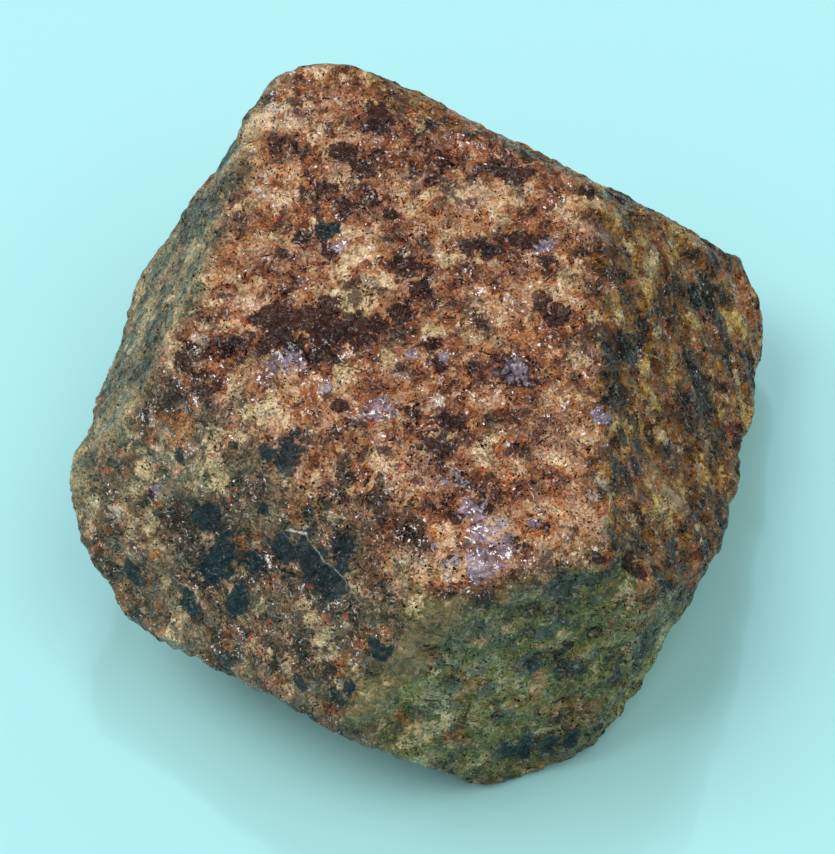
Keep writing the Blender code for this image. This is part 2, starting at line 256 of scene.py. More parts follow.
        (-14.0, 13.9, 4.9, 1.2), (2.2, -21.3, 9.9, 0.6), (1.5, -21.5, 5.8, 0.6), (-4.3, -21.0, 8.2, 0.5),
        (-5.1, -21.1, 4.8, 0.6), (16.5, -7.0, 3.5, 0.8), (3.8, -21.5, 6.7, 0.6), (-1.3, -21.9, -5.6, 0.6),
    ),
    # dark wine grains under a painted lilac sheen, where the glints gather
    "lilac_sheen": (
        (-1.8, -17.5, 12.1, 1.5), (-2.6, -19.2, 11.8, 1.5), (-4.7, -7.5, 13.8, 1.2), (-8.3, -2.4, 14.7, 1.1),
        (4.4, -8.0, 13.5, 1.2), (-1.2, -18.9, 11.9, 0.8), (-1.7, -15.8, 12.4, 1.0), (-2.5, 4.1, 15.6, 0.6),
        (8.0, -12.8, 12.6, 0.6), (-18.4, -2.9, 7.2, 0.5), (-1.7, -13.8, 12.7, 0.9), (-1.1, -4.7, 14.1, 0.5),
        (0.8, -5.6, 14.0, 0.5), (-10.2, -2.8, 14.7, 0.7), (9.6, -0.6, 14.6, 0.6), (-7.2, -4.9, 14.3, 0.7),
        (-4.7, -18.6, 12.0, 0.7), (-4.9, -16.9, 12.3, 0.6), (1.4, -18.3, 11.9, 0.5),
    ),
    # where mica lies flat and glints, and where more of the painted glint flecks gather
    "glints": (
        (-8.3, -2.2, 14.7, 1.5), (-10.2, -2.8, 14.7, 1.0), (-12.3, -2.2, 14.8, 0.8), (-4.7, -7.5, 13.8, 1.3),
        (-5.2, -9.5, 13.5, 0.8), (-1.8, -17.5, 12.1, 1.3), (-2.6, -19.2, 11.8, 1.5), (-1.3, -19.2, 11.8, 0.8),
        (-1.8, -16.0, 12.3, 1.0), (4.6, -7.5, 13.6, 0.9), (-1.1, -4.7, 14.1, 0.5), (0.8, -5.6, 14.0, 0.6),
        (-0.7, -8.3, 13.6, 0.7), (-2.4, 4.2, 15.6, 1.0), (-1.6, 2.5, 15.3, 0.9), (-0.9, 3.2, 15.4, 0.7),
        (-7.3, -4.7, 14.3, 1.2), (-5.0, -3.1, 14.5, 0.8), (-18.4, -2.9, 7.2, 0.5), (-15.9, -7.3, 7.1, 0.7),
        (13.5, -6.8, 8.7, 1.1), (10.8, -11.6, 9.1, 0.8), (8.0, -12.7, 12.6, 0.6), (12.7, -3.8, 12.8, 0.8),
        (-6.9, -21.0, 6.5, 1.1), (4.5, -20.9, 11.4, 1.0), (0.2, -20.3, 11.6, 1.0), (-9.0, 2.1, 15.4, 0.8),
        (11.8, 2.2, 15.0, 0.8), (4.5, -2.0, 14.5, 0.8), (9.6, -0.5, 14.6, 0.7), (-14.9, -1.8, 13.5, 0.8),
        (-4.6, 5.4, 15.9, 0.6), (-13.9, -10.7, 7.2, 0.8), (-12.3, -13.6, 7.0, 0.7),
    ),
}


def linear(hex_colour):
    """An sRGB hex colour as linear red, green, blue and full alpha."""
    parts = [int(hex_colour[start : start + 2], 16) / 255 for start in (1, 3, 5)]
    return (*(part / 12.92 if part <= 0.04045 else ((part + 0.055) / 1.055) ** 2.4 for part in parts), 1.0)


# ---------------------------------------------------------------- noise


def scrambled(lattice, salt):
    """Even random numbers from 0 to 1 for whole-number points.

    Each coordinate is multiplied by its own large odd number, the products are mixed by exclusive or with the
    salt, and two rounds of shifting and multiplying spread every bit. The low 24 bits give the number.
    """
    x, y, z = (lattice[..., axis].astype(np.int64).astype(np.uint32) for axis in range(3))
    salted = np.uint32(salt * 2654435761 % 2**32)
    bits = x * np.uint32(73856093) ^ y * np.uint32(19349663) ^ z * np.uint32(83492791) ^ salted
    bits = (bits ^ (bits >> np.uint32(15))) * np.uint32(2246822519)
    bits = (bits ^ (bits >> np.uint32(13))) * np.uint32(3266489917)
    bits ^= bits >> np.uint32(16)
    return (bits & np.uint32(0xFFFFFF)) / float(0x1000000)


def smooth_noise(points, salt):
    """Noise from -1 to 1 with features one unit across: random values at whole-number corners, blended by
    6t^5 - 15t^4 + 10t^3 along each axis."""
    corner = np.floor(points)
    part = points - corner
    part = part**3 * (part * (part * 6 - 15) + 10)
    total = np.zeros(len(points))
    for offset in np.ndindex(2, 2, 2):
        share = np.where(offset, part, 1 - part).prod(axis=1)
        total += share * scrambled(corner + offset, salt)
    return total * 2 - 1


def layered_noise(points, size, octaves, salt, height=1.0):
    """Octaves of smooth noise, each half as large and half as strong as the one before, from size in mm down,
    times the height."""
    total = np.zeros(len(points))
    for octave in range(octaves):
        total += smooth_noise(points * (2**octave / size), salt + octave) / 2**octave
    return total * height


def grains(points, size, salt):
    """Voronoi grains of a size in mm around one jittered centre per cube of a lattice: how much further off
    the second nearest centre is than the nearest, in grains, and a random number for each grain."""
    points = points / size
    home = np.floor(points)
    nearest = np.full(len(points), np.inf)
    second = nearest.copy()
    number = np.zeros(len(points))
    for offset in np.ndindex(3, 3, 3):
        cell = home + offset - 1
        centre = cell + np.stack([scrambled(cell, salt + axis) for axis in range(3)], axis=1)
        away = np.linalg.norm(points - centre, axis=1)
        closer = away < nearest
        second = np.where(closer, nearest, np.minimum(second, away))
        number = np.where(closer, scrambled(cell, salt + 3), number)
        nearest = np.where(closer, away, nearest)
    return second - nearest, number


def across_layers(points, stretch):
    """The points with their distance along the layers' normal multiplied by stretch, so that what has even
    features there comes out that much thinner than it is long."""
    return points + np.outer(points @ LAYER_NORMAL, LAYER_NORMAL) * (stretch - 1)


def drawn_out(points):
    """The points with their distance along the grains' way divided by how many times longer grains are."""
    return points - np.outer(points @ GRAIN_WAY, GRAIN_WAY) * (1 - 1 / DRAWN_OUT)


# ---------------------------------------------------------------- shape


def closed_grid(count):
    """The six sides of a cube, each a grid of count by count squares, joined into one closed shell.

    Gives the corner points as whole numbers from 0 to count, and the squares as four point numbers each,
    wound anticlockwise from outside.
    """
    u, v = np.meshgrid(np.arange(count + 1), np.arange(count + 1), indexing="ij")
    first = (np.arange(count)[:, None] * (count + 1) + np.arange(count)).ravel()
    square = np.stack([first, first + count + 1, first + count + 2, first + 1], axis=1)
    points, squares = [], []
    for axis in range(3):
        for end in (0, count):
            side = [None, None, None]
            side[axis] = np.full_like(u, end)
            side[(axis + 1) % 3] = u
            side[(axis + 2) % 3] = v
            squares.append((square if end else square[:, ::-1]) + len(points) * u.size)
            points.append(np.stack(side, axis=-1).reshape(-1, 3))
    shared, renumbered = np.unique(np.concatenate(points), axis=0, return_inverse=True)
    return shared, renumbered.ravel()[np.concatenate(squares)]


def face_planes():
    """Unit normals, distances in mm and colour families of the crystal faces and then of the worn facets."""
    names = [face[0] for face in FACES]
    bearing, rise = np.radians([face[1:3] for face in FACES]).T
    normals = np.stack([np.cos(rise) * np.cos(bearing), np.cos(rise) * np.sin(bearing), np.sin(rise)], axis=1)
    distances = np.array([face[3] for face in FACES])
    families = [face[4] for face in FACES]
    for first, second, depth, family, _ in WORN_EDGES:
        a, b = names.index(first), names.index(second)
        both = normals[a] + normals[b]
        length = np.linalg.norm(both)
        normals = np.vstack([normals, both / length])
        distances = np.append(distances, (distances[a] + distances[b]) / length - depth)
        families.append(family)
    return normals, distances, families


def flat_faced_surface(directions, normals, distances, rounding):
    """Where rays from the middle meet the faces, with the edges rounded over.

    The surface is where the soft maximum, ln(sum(e^(k * over))) / k, of the heights over all planes is zero,
    with k = ln 2 / rounding, so an edge between two faces is worn down by the rounding. Newton steps along
    each ray find it. The outward normal is the mean of the planes' normals, each weighed by e^(k * over).
    """
    sharpness = np.log(2) / rounding
    facing = directions @ normals.T
    reach = 1 / (facing / distances).max(axis=1)
    for _ in range(6):
        over = facing * reach[:, None] - distances
        highest = over.max(axis=1, keepdims=True)
        shares = np.exp((over - highest) * sharpness[:, None])
        total = shares.sum(axis=1, keepdims=True)
        soft = (highest + np.log(total) / sharpness[:, None])[:, 0]
        shares /= total
        reach -= soft / (shares * facing).sum(axis=1)
    outward = shares @ normals
    outward /= np.linalg.norm(outward, axis=1, keepdims=True)
    return directions * reach[:, None], outward


def blobs(points, table):
    """The sum over the table's places of rise * e^(-(distance / radius)^2)."""
    total = np.zeros(len(points))
    for place, radius, rise in table:
        total += rise * np.exp(-(((points - place) / radius) ** 2).sum(axis=1))
    return total


def patch_field(points, places, squeeze):
    """1 at the middle of the nearest patch, 0 at its edge and -1 well outside, squeezed across the layers."""
    field = np.full(len(points), -1.0)
    for *place, radius in places:
        away = np.linalg.norm(across_layers(points - place, squeeze), axis=1) / radius
        field = np.maximum(field, 1 - away)
    return field


def relief(points, over, layered, settings):
    """How far the surface stands proud of its smooth form, in mm.

    Ledges: layered noise drawn across the layers, with finer ridges where the layers show and finer bumps
    where they don't. Grains: two sizes of Voronoi grain, each a shallow dome at its own random height.
    Crumbs: fine noise. Chips: noise bites, deepest at the edges. Single hollows and lumps are added on top.
    """
    depths = np.sort(-over, axis=1)
    near_edge = np.clip(1 - (depths[:, 1] - depths[:, 0]) / (settings.chip_reach / MM), 0, 1)
    height = layered_noise(across_layers(points, LEDGE_STRETCH), **LEDGES)
    ridges = layered_noise(across_layers(points, RIDGE_STRETCH), **RIDGES)
    height += ridges * layered + layered_noise(drawn_out(points), **BUMPS) * (1 - layered)
    for share, stretch, salt, dome, step in GRAIN_RELIEF:
        gap, number = grains(across_layers(points, stretch), settings.grain / MM * share, salt)
        height += (np.minimum(gap, DOME_RIM) - DOME_RIM / 2) * dome + (number - 0.5) * step
    bites = np.maximum(layered_noise(points, **CHIPS) - CHIP_START, 0) * near_edge * settings.chip_depth / MM
    return height + layered_noise(points, **CRUMBS) - bites + blobs(points, HOLLOWS_AND_LUMPS)


def face_shares(points, normals, distances, families):
    """How much each colour family owns of each point: its share of e^(over / softness) over all planes, at
    points that wander by about a millimetre."""
    wander = [layered_noise(across_layers(points, 2.0), 5.0, 4, salt) for salt in (101, 111, 121)]
    over = (points + np.stack(wander, 1) * FAMILY_WANDER) @ normals.T - distances
    shares = np.exp((over - over.max(axis=1, keepdims=True)) / FAMILY_SOFTNESS)
    shares /= shares.sum(axis=1, keepdims=True)
    kinds = np.array(families)
    return np.stack([shares[:, kinds == kind].sum(axis=1) for kind in SHARED], axis=1)


def band_share(points, normals, distances):
    """How much of each point belongs to the smooth worn facets along the edges."""
    over = points @ normals.T - distances
    own = len(FACES) + np.flatnonzero([edge[4] for edge in WORN_EDGES])
    over[:, own] += layered_noise(points, 3.0, 3, 131)[:, None] * BAND_WANDER
    shares = np.exp((over - over.max(axis=1, keepdims=True)) / BAND_SOFTNESS)
    return shares[:, own].sum(axis=1) / shares.sum(axis=1)


class GarnetCrystalSettings(bpy.types.PropertyGroup):
    """Sizes of the crystal's surface, and two of its colours."""

    count: bpy.props.IntProperty(
        name="Grid", description="Squares along each side of the grid", default=129, min=8
    )
    rounding: bpy.props.FloatProperty(
        name="Edge wear", description="How far edges are worn down", unit="LENGTH", default=0.22 * MM
    )
    grain: bpy.props.FloatProperty(
        name="Grain", description="Size of the coarse grains in relief", unit="LENGTH", default=1.5 * MM
    )
    chip_reach: bpy.props.FloatProperty(
        name="Chip reach", description="How far chips bite in from an edge", unit="LENGTH", default=1.7 * MM
    )
    chip_depth: bpy.props.FloatProperty(
        name="Chip depth", description="How deep chips bite", unit="LENGTH", default=0.55 * MM
    )
    haze: bpy.props.FloatVectorProperty(
        name="Haze", description="Light that pale grit adds", subtype="COLOR", default=linear("#6E645C")[:3]
    )
    # the flecks' colour: pale mica and quartz, with painted glints in it
    fleck_and_glint: bpy.props.FloatVectorProperty(
        name="Flecks", description="Colour of the glints", subtype="COLOR", size=4, default=linear("#FFFAFC")
    )


def crystal_mesh(settings):
    """The crystal as one closed mesh, with a point attribute for each field that its finish reads."""
    normals, distances, families = face_planes()
    lattice, squares = closed_grid(settings.count)
    low, high = (np.array(corner) / MM for corner in CAD_BOX)
    spread = np.tan((lattice * 2 / settings.count - 1) * np.pi / 4) * (high - low) / 2
    directions = spread / np.linalg.norm(spread, axis=1, keepdims=True)
    wear = settings.rounding / MM * 2 ** layered_noise(directions * 20, 6.0, 2, 5)
    smooth, outward = flat_faced_surface(directions, normals, distances, wear)
    over = smooth @ normals.T - distances
    shares = dict(zip(SHARED, face_shares(smooth, normals, distances, families).T))
    points = smooth + outward * relief(smooth, over, shares["red"] + shares["green"], settings)[:, None]
    base = -distances[[face[0] for face in FACES].index("base")]
    points[:, 2] = np.maximum(points[:, 2], base)

    mesh = bpy.data.meshes.new("garnet_surface")
    mesh.from_pydata((points + MIDDLE) * MM, [], squares)
    fields = {name: patch_field(smooth, PATCHES[name], SQUEEZES[name]) for name in PATCHES}
    fields["band"] = band_share(smooth, normals, distances)
    for name, values in (fields | shares).items():
        attribute = mesh.attributes.new(name, "FLOAT", "POINT")
        attribute.data.foreach_set("value", values.astype(np.float32))
    mesh.polygons.foreach_set("use_smooth", np.ones(len(squares), dtype=bool))
    mesh.update()
    return mesh


# ---------------------------------------------------------------- finish


# Pale veins and dark cracks: both ends from the middle and half the width, in mm, and the colour.
VEINS = (
    ((-11.5, -11.8, 9.8), (-10.7, -13.7, 9.3), 0.05, "#8E9890"),
    ((-10.7, -13.7, 9.3), (-9.9, -15.6, 8.8), 0.04, "#8E9890"),
    ((-12.4, -10.7, 9.4), (-11.4, -11.8, 9.9), 0.07, "#D8D4CC"),
    ((-14.0, -10.5, 7.2), (-12.4, -13.5, 6.8), 0.04, "#B4A898"),
    ((-20.2, -4.7, 2.9), (-18.5, -7.9, 2.6), 0.04, "#9C9080"),
    ((13.3, -6.7, 9.3), (15.3, -6.4, 6.1), 0.05, "#A89C84"),
    ((-9.9, -21.0, 1.3), (-7.8, -21.1, 1.7), 0.09, "#1C140E"),
    ((-7.8, -21.1, 1.7), (-4.8, -21.4, 0.5), 0.06, "#1C140E"),
    ((-4.6, -20.9, 9.7), (-4.1, -20.9, 11.1), 0.07, "#2A1A12"),
    ((8.3, -14.0, 11.4), (6.4, -18.9, 10.3), 0.12, "#2A1C14"),
    ((6.4, -18.9, 10.3), (5.2, -21.1, 10.5), 0.09, "#2A1C14"),
    ((-6.1, -3.4, 14.5), (-3.5, -5.2, 14.1), 0.06, "#2A1818"),
    ((2.8, -6.1, 13.8), (5.5, -7.7, 13.5), 0.07, "#2A1818"),
)
VEIN_COVER = 0.85  # how strongly a vein covers
VEIN_RIM = (0.5, 1.5)  # where its rim starts and ends, in half widths
VEIN_SHALLOWING = 0.95  # how much of the depth off its line is left out, so that it shows on rough ground

# Noise that moves the spaces about: the size of its features in mm, and detail.
STIRRING = {"stir": (1.25, 3.0), "fray": (0.25, 1.0)}
# Spaces in mm that the patterns are drawn in: name, the space it starts from, what moves it, and how far. The
# push is straight across the layers.
SPACES = (
    ("squeezed", "place", "push", 1.5),
    ("half_squeezed", "place", "push", 0.5),
    ("layers", "squeezed", "stir", 1.8),
    ("bands", "half_squeezed", "stir", 1.8),
    ("stirred", "place", "stir", 0.9),
    ("frayed", "stirred", "fray", 0.7),
    ("jagged", "stirred", "fray", 0.25),
    ("bent", "from_middle", "stir", 0.5),
    ("wavy", "bent", "fray", 0.2),
)
# Soft fields, each of three channels: the space they are drawn in, size of their features in mm, and detail.
SOFT_FIELDS = (
    ("streaks", "layers", 6.5, 3.0),
    ("clouds", "stirred", 3.4, 3.0),
    ("blotches", "bands", 2.2, 3.0),
    ("clots", "stirred", 0.9, 2.0),
    ("seams", "layers", 1.5, 2.0),
    ("domes", "stirred", 0.8, 2.0),
    ("gleams", "stirred", 0.32, 1.0),
    ("grit", "place", 0.12, 1.0),
)
# Fields of grains, each grain with three random numbers of its own: the space, and the size of grains in mm.
# Real grit is finer than the last of these, which is as fine as shows.
GRAIN_FIELDS = (
    ("coarse", "frayed", 1.0),
    ("fine", "jagged", 0.45),
    ("tiny", "jagged", 0.2),
    ("flake", "place", 0.12),
)

# Tones of each colour family, from its darkest mineral to its palest, and their places along the ramp.
RED_PLACES = (0.0, 0.2, 0.42, 0.6, 0.8, 1.0)
PLACES = (0.0, 0.22, 0.45, 0.65, 0.82, 1.0)
TONES = {
    "red": (RED_PLACES, ("#321A16", "#5A3527", "#8C5432", "#A9724A", "#C89B6E", "#E2C4A0")),
    "green": (PLACES, ("#282C24", "#46462A", "#666531", "#7C7A42", "#96905B", "#B4AF8B")),
    "brown": (PLACES, ("#1D0E02", "#3E2104", "#6D4208", "#8C5A14", "#AE8133", "#D6B362")),
    "grey": (PLACES, ("#393B2F", "#5A5A47", "#7D7658", "#968B67", "#AFA175", "#D4C89F")),
    "olive": (PLACES, ("#2A2821", "#4B4132", "#6A5742", "#806C53", "#9D8766", "#D0BF97")),
}
LIGHTNESS = {"streaks 0": 1.7, "blotches 0": 1.6, "clots 0": 0.9, "coarse 0": 0.3, "fine 0": 0.34}
INNER_TONES = {"tone": 0.6, "clots 2": 1.0, "gleams 1": 0.9}  # what makes one grain of a mineral darker
INNER_PLACES = (0.1, 0.9)

# Other minerals over the garnet, and a painted lilac sheen, in the order in which they cover one another.
# Each
# # has its darkest and its palest tone. Patches have the fields that make their edges ragged, where those
# edges
# # start and end, and how strongly the mineral covers. Minerals that are scattered as well have their fields,
# # edges, and strength on the olive, red, green, brown and grey families.
MINERALS = {
    "ashen": {
        "tones": ("#201B18", "#86785E"),
        "patches": ({"blotches 1": 2.6, "clots 2": 1.6, "coarse 2": 0.4}, (-0.15, 0.45), 0.8),
        "scattered": ({"blotches 2": 1.4, "streaks 2": 1.0, "coarse 2": 0.7, "fine 0": 0.4}, (0.64, 0.74)),
        "amounts": (0.4, 0.6, 0.2, 0.25, 0.3),
    },
    "pink": {
        "tones": ("#7A4A38", "#DDB898"),
        "patches": ({"blotches 2": 2.6, "clots 1": 1.4, "coarse 1": 0.5}, (0.0, 0.6), 0.7),
        "scattered": ({"blotches 1": 1.4, "clots 0": 1.0, "coarse 0": 0.6, "fine 2": 0.4}, (0.68, 0.8)),
        "amounts": (0.3, 0.6, 0.1, 0.15, 0.2),
    },
    "rust": {
        "tones": ("#5E2C18", "#CC8A50"),
        "patches": ({"blotches 1": 2.2, "clots 1": 1.8, "coarse 1": 0.7, "fine 0": 0.4}, (0.0, 0.3), 0.8),
        "scattered": ({"streaks 1": 1.4, "blotches 1": 1.2, "coarse 1": 0.35}, (0.62, 0.78)),
        "amounts": (0.4, 0.45, 0.45, 0.75, 0.25),
    },
    "teal": {
        "tones": ("#2C3834", "#6A7662"),
        "patches": ({"blotches 2": 1.6, "clots 2": 1.4, "fine 2": 0.4}, (0.0, 0.3), 0.8),
        "scattered": ({"streaks 2": 1.7, "blotches 2": 1.3, "fine 2": 0.2}, (0.62, 0.74)),
        "amounts": (0.4, 0.05, 0.6, 0.0, 0.35),
    },
    "iron": {
        "tones": ("#5E1E10", "#B85A30"),
        "scattered": ({"blotches 1": 1.4, "clots 2": 1.6, "fine 0": 0.9}, (1.03, 1.12)),
        "amounts": (0.6, 0.8, 0.4, 0.8, 0.3),
    },
    "band": {
        "tones": ("#5E5438", "#978760"),
        "patches": ({"clots 0": 0.8}, (0.3, 0.9), 0.7),
    },
    "pale": {
        "tones": ("#96764A", "#EAD6AA"),
        "patches": ({"blotches 0": 1.6, "clots 1": 2.2, "coarse 2": 0.7, "fine 1": 0.6}, (0.0, 0.25), 0.75),
        "scattered": ({"blotches 0": 1.0, "clots 1": 1.2, "coarse 1": 0.6, "fine 1": 0.4}, (0.84, 0.96)),
        "amounts": (0.5, 0.6, 0.5, 0.45, 0.4),
    },
    "white": {
        "tones": ("#8C7A66", "#E0D4C6"),
        "patches": ({"clots 1": 2.2, "coarse 1": 0.5, "gleams 1": 1.2, "fine 1": 0.8}, (0.1, 0.4), 0.75),
    },
    "violet": {
        "tones": ("#0A0204", "#341312"),
        "patches": ({"blotches 2": 1.5, "clots 2": 1.9, "coarse 2": 0.7, "fine 2": 0.5}, (-0.2, 0.1), 0.95),
        "scattered": ({"blotches 2": 1.6, "clots 2": 0.9, "coarse 2": 0.4, "fine 2": 0.2}, (0.72, 0.84)),
        "amounts": (0.3, 0.8, 0.1, 0.5, 0.1),
    },
    "black": {
        "tones": ("#0C0805", "#32241A"),
        "patches": ({"blotches 2": 1.2, "clots 2": 1.5, "coarse 2": 0.5, "fine 1": 0.5}, (-0.15, 0.2), 0.85),
        "scattered": ({"clots 1": 1.5, "gleams 1": 1.3, "fine 0": 0.5}, (0.97, 1.07)),
        "amounts": (0.1, 0.0, 0.8, 0.3, 0.1),
    },
    # dark wine grains, their palest tone a painted lilac sheen
    "lilac_sheen": {
        "tones": ("#1C1020", "#A698AE"),
        "patches": ({"blotches 0": 1.4, "clots 1": 2.4, "gleams 2": 1.6, "fine 2": 0.6}, (0.05, 0.3), 0.8),
    },
    "glassy": {
        "tones": ("#02141C", "#0E2C36"),
        "patches": ({"blotches 2": 1.3, "clots 2": 1.6, "coarse 2": 0.4, "fine 1": 0.3}, (-0.12, 0.15), 0.93),
    },
}
WINE_SMOOTHNESS = 0.8  # how smooth wine-red grains are, where glassy ones are 1
SMOOTHEST = 0.15  # how much grit and tilt is left on glassy grains

# Thin lines where a soft field crosses its middle value: the field, how far off the middle they fade out, the
# field that breaks them up, and where the breaks start and end. The seams and the creases are painted shade
# between grains, and the strokes are painted glints.
LINES = {
    "seams": ("seams 0", 0.022, "clots 0", (0.42, 0.62)),
    "creases": ("domes 0", 0.05, "gleams 1", (0.35, 0.6)),
    "strokes": ("gleams 0", 0.05, "gleams 2", (0.5, 0.66)),
}
PAINTED_SHADE_DEPTHS = {"seams": 0.45, "creases": 0.4}  # how much of the light the painted shade in the seams and creases between grains takes
BULGES = {"clots 0": 0.4, "seams": 0.2, "creases": 0.9, "strokes": 0.25, "fine": -0.07}  # height in mm
BULGE_STRENGTH = 0.8

# Grit: how much lighter or darker each tiny grain is than the next.
GRIT = {"grit 0": 0.9, "fine 1": 0.3, "tiny 1": 0.4, "flake 0": 0.2}
DARKEST_SHADE = 0.25  # the share of its light that the darkest grit keeps
GRIT_LIGHT = 0.4  # how much pale grit lightens the colour below it
BROWN_CLEARNESS = 0.9  # how much of the haze the brown faces are without

# Flecks, pale mica and quartz whose colour is partly a painted glint, and short strokes of painted glint:
# what
# # gathers them into clusters and how much that adds or takes, how many more there are where glints are set,
# how
# # much each colour family thins them out, and how much of their edge each flake decides.
CLUSTERS = {"blotches 1": 1.4, "clots 1": 1.6}
CLUSTER_RANGE = (0.3, 0.8, -0.05, 0.04)
GLINT_CROWDING = 0.3
FEWER_FLECKS = {"green": 0.09, "brown": 0.05, "grey": 0.12}
FLAKE_SHARE = 0.35
FLECK_EDGE = (1.23, 1.29)
STROKE_RANGE = (-0.03, 0.06, 0.3, 1.0)  # from few flecks to many, and how bright the painted glint strokes are there
PEARLINESS = 0.25  # how metallic a fleck is

# How far the facets of each size of grain lean, as the tangent of their tilt.
FACET_LEANS = (("flake", 1.2), ("fine", 0.8), ("coarse", 0.4))
CLEAVAGE = (0.0, -0.095, 0.995)  # the way that the mica flakes lie where they glint together
CLEAVAGE_PULL = 5.0  # how strongly they do

# Roughness of the glassiest flakes, and of the dullest on smooth and on rough grains.
GLASSIEST = 0.1
DULLEST = (0.1, 0.6)


def add_node(tree, kind, inputs=(), out=0, stops=(), **settings):
    """Adds a shader node with its settings, and links or sets its inputs, given in order or by name.

    Gives its output of a name or number, or several as a slice, or the node itself if it has none.
    """
    node = tree.nodes.new("ShaderNode" + kind)
    for name, value in settings.items():
        setattr(node, name, value)
    for key, value in inputs.items() if isinstance(inputs, dict) else enumerate(inputs):
        if isinstance(value, bpy.types.NodeSocket):
            tree.links.new(value, node.inputs[key])
        else:
            node.inputs[key].default_value = value
    for number, (place, colour) in enumerate(stops):
        stop = node.color_ramp.elements[number] if number < 2 else node.color_ramp.elements.new(place)
        stop.position = place
        stop.color = linear(colour)
    return node.outputs[out] if node.outputs else node


def weighed_sum(add, middle, fields, weights):
    """The middle plus the sum of weight * (field - 1/2) over the named fields, which run from 0 to 1."""
    total = middle - sum(weights.values()) / 2
    for name, weight in weights.items():
        total = add("Math", (fields[name], weight, total), operation="MULTIPLY_ADD")
    return total


def pattern_spaces(add):
    """The spaces in mm that patterns are drawn in: place, squeezed along the grains' way so that grains come
    out longer there, from_middle, which is plain, and the others, which start from these two."""
    place = add("TexCoord", out="Object")
    place = add("VectorMath", {0: place, "Scale": 1 / MM}, operation="SCALE")
    from_middle = add("VectorMath", (place, tuple(MIDDLE)), operation="SUBTRACT")
    along = add("VectorMath", (place, tuple(GRAIN_WAY)), "Value", operation="DOT_PRODUCT")
    pull = add("VectorMath", {0: tuple(GRAIN_WAY * (1 / DRAWN_OUT - 1)), "Scale": along}, operation="SCALE")
    place = add("VectorMath", (place, pull), operation="ADD")
    along = add("VectorMath", (place, tuple(LAYER_NORMAL)), "Value", operation="DOT_PRODUCT")
    push = add("VectorMath", {0: tuple(LAYER_NORMAL), "Scale": along}, operation="SCALE")
    movers = {"push": (push, 0.0)}
    for name, (size, detail) in STIRRING.items():
        noise = add("TexNoise", {"Vector": place, "Scale": 1 / size, "Detail": detail}, "Color")
        movers[name] = (noise, 0.5)
    spaces = {"place": place, "from_middle": from_middle}
    for name, start, mover, amount in SPACES:
        source, middle = movers[mover]
        moved = add("VectorMath", (source, (amount,) * 3, spaces[start]), operation="MULTIPLY_ADD")
        spaces[name] = add("VectorMath", (moved, (amount * middle,) * 3), operation="SUBTRACT")
    return spaces


def pattern_fields(add, spaces):
    """Every channel of every field by name, such as clots 2, the distance from each grain's middle by the
    name of its field, and the fields' whole colours."""
    fields, colours = {}, {}
    for name, space, size, detail in SOFT_FIELDS:
        pattern = {"Vector": spaces[space], "Scale": 1 / size, "Detail": detail}
        colours[name] = add("TexNoise", pattern, "Color")
    for name, space, size in GRAIN_FIELDS:
        pattern = {"Vector": spaces[space], "Scale": 1 / size}
        fields[name], colours[name] = add("TexVoronoi", pattern, slice(2))
    for name, colour in colours.items():
        for channel, source in enumerate(add("SeparateXYZ", (colour,), slice(3))):
            fields["%s %d" % (name, channel)] = source
    return fields, colours


def mineral_cover(add, name, fields, surface):
    """How strongly a mineral covers: the larger of its patches and what is scattered of it."""
    mineral = MINERALS[name]
    cover = 0.0
    if "patches" in mineral:
        weights, edge, strength = mineral["patches"]
        ragged = add("Math", (surface[name], weighed_sum(add, 0.0, fields, weights)), operation="ADD")
        cover = add("MapRange", (ragged, *edge, 0.0, strength), interpolation_type="SMOOTHSTEP")
    if "scattered" in mineral:
        weights, edge = mineral["scattered"]
        amount, *others = mineral["amounts"]
        for family, other in zip(SHARED, others):
            extra = (surface[family], other - mineral["amounts"][0], amount)
            amount = add("Math", extra, operation="MULTIPLY_ADD")
        cut = weighed_sum(add, 0.5, fields, weights)
        scattered = add("MapRange", (cut, *edge, 0.0, amount), interpolation_type="SMOOTHSTEP")
        cover = add("Math", (cover, scattered), operation="MAXIMUM")
    return cover


def mineral_colours(add, fields, surface):
    """The garnet in the tones of its colour families with the other minerals over it, and how rough it is."""
    fields["tone"] = weighed_sum(add, 0.5, fields, LIGHTNESS)
    ramps = {name: add("ValToRGB", (fields["tone"],), stops=zip(*TONES[name])) for name in TONES}
    colour = ramps["olive"]
    for family in SHARED:
        colour = add("Mix", {0: surface[family], 6: colour, 7: ramps[family]}, 2, data_type="RGBA")
    inner = weighed_sum(add, 0.5, fields, INNER_TONES)
    covers = {}
    for name, mineral in MINERALS.items():
        covers[name] = mineral_cover(add, name, fields, surface)
        own = add("ValToRGB", (inner,), stops=zip(INNER_PLACES, mineral["tones"]))
        colour = add("Mix", {0: covers[name], 6: colour, 7: own}, 2, data_type="RGBA")
    smooth = add("Math", (covers["glassy"], covers["band"]), operation="MAXIMUM")
    wine = add("Math", (covers["violet"], WINE_SMOOTHNESS), operation="MULTIPLY")
    smooth = add("Math", (smooth, wine), operation="MAXIMUM")
    return colour, add("MapRange", (smooth, 0.0, 1.0, 1.0, SMOOTHEST))


def thin_lines(add, fields, layered):
    """The strength of each kind of thin line, and how far its field is off its middle value. The seams show
    only where the layers do."""
    lines, off_middle = {}, {}
    for name, (field, width, breaks, gap) in LINES.items():
        off = add("Math", (fields[field], 0.5), operation="SUBTRACT")
        off_middle[name] = add("Math", (off,), operation="ABSOLUTE")
        line = add("MapRange", (off_middle[name], 0.0, width, 1.0, 0.0))
        broken = add("MapRange", (fields[breaks], *gap), interpolation_type="SMOOTHSTEP")
        lines[name] = add("Math", (line, broken), operation="MULTIPLY")
    lines["seams"] = add("Math", (lines["seams"], layered), operation="MULTIPLY")
    return lines, off_middle


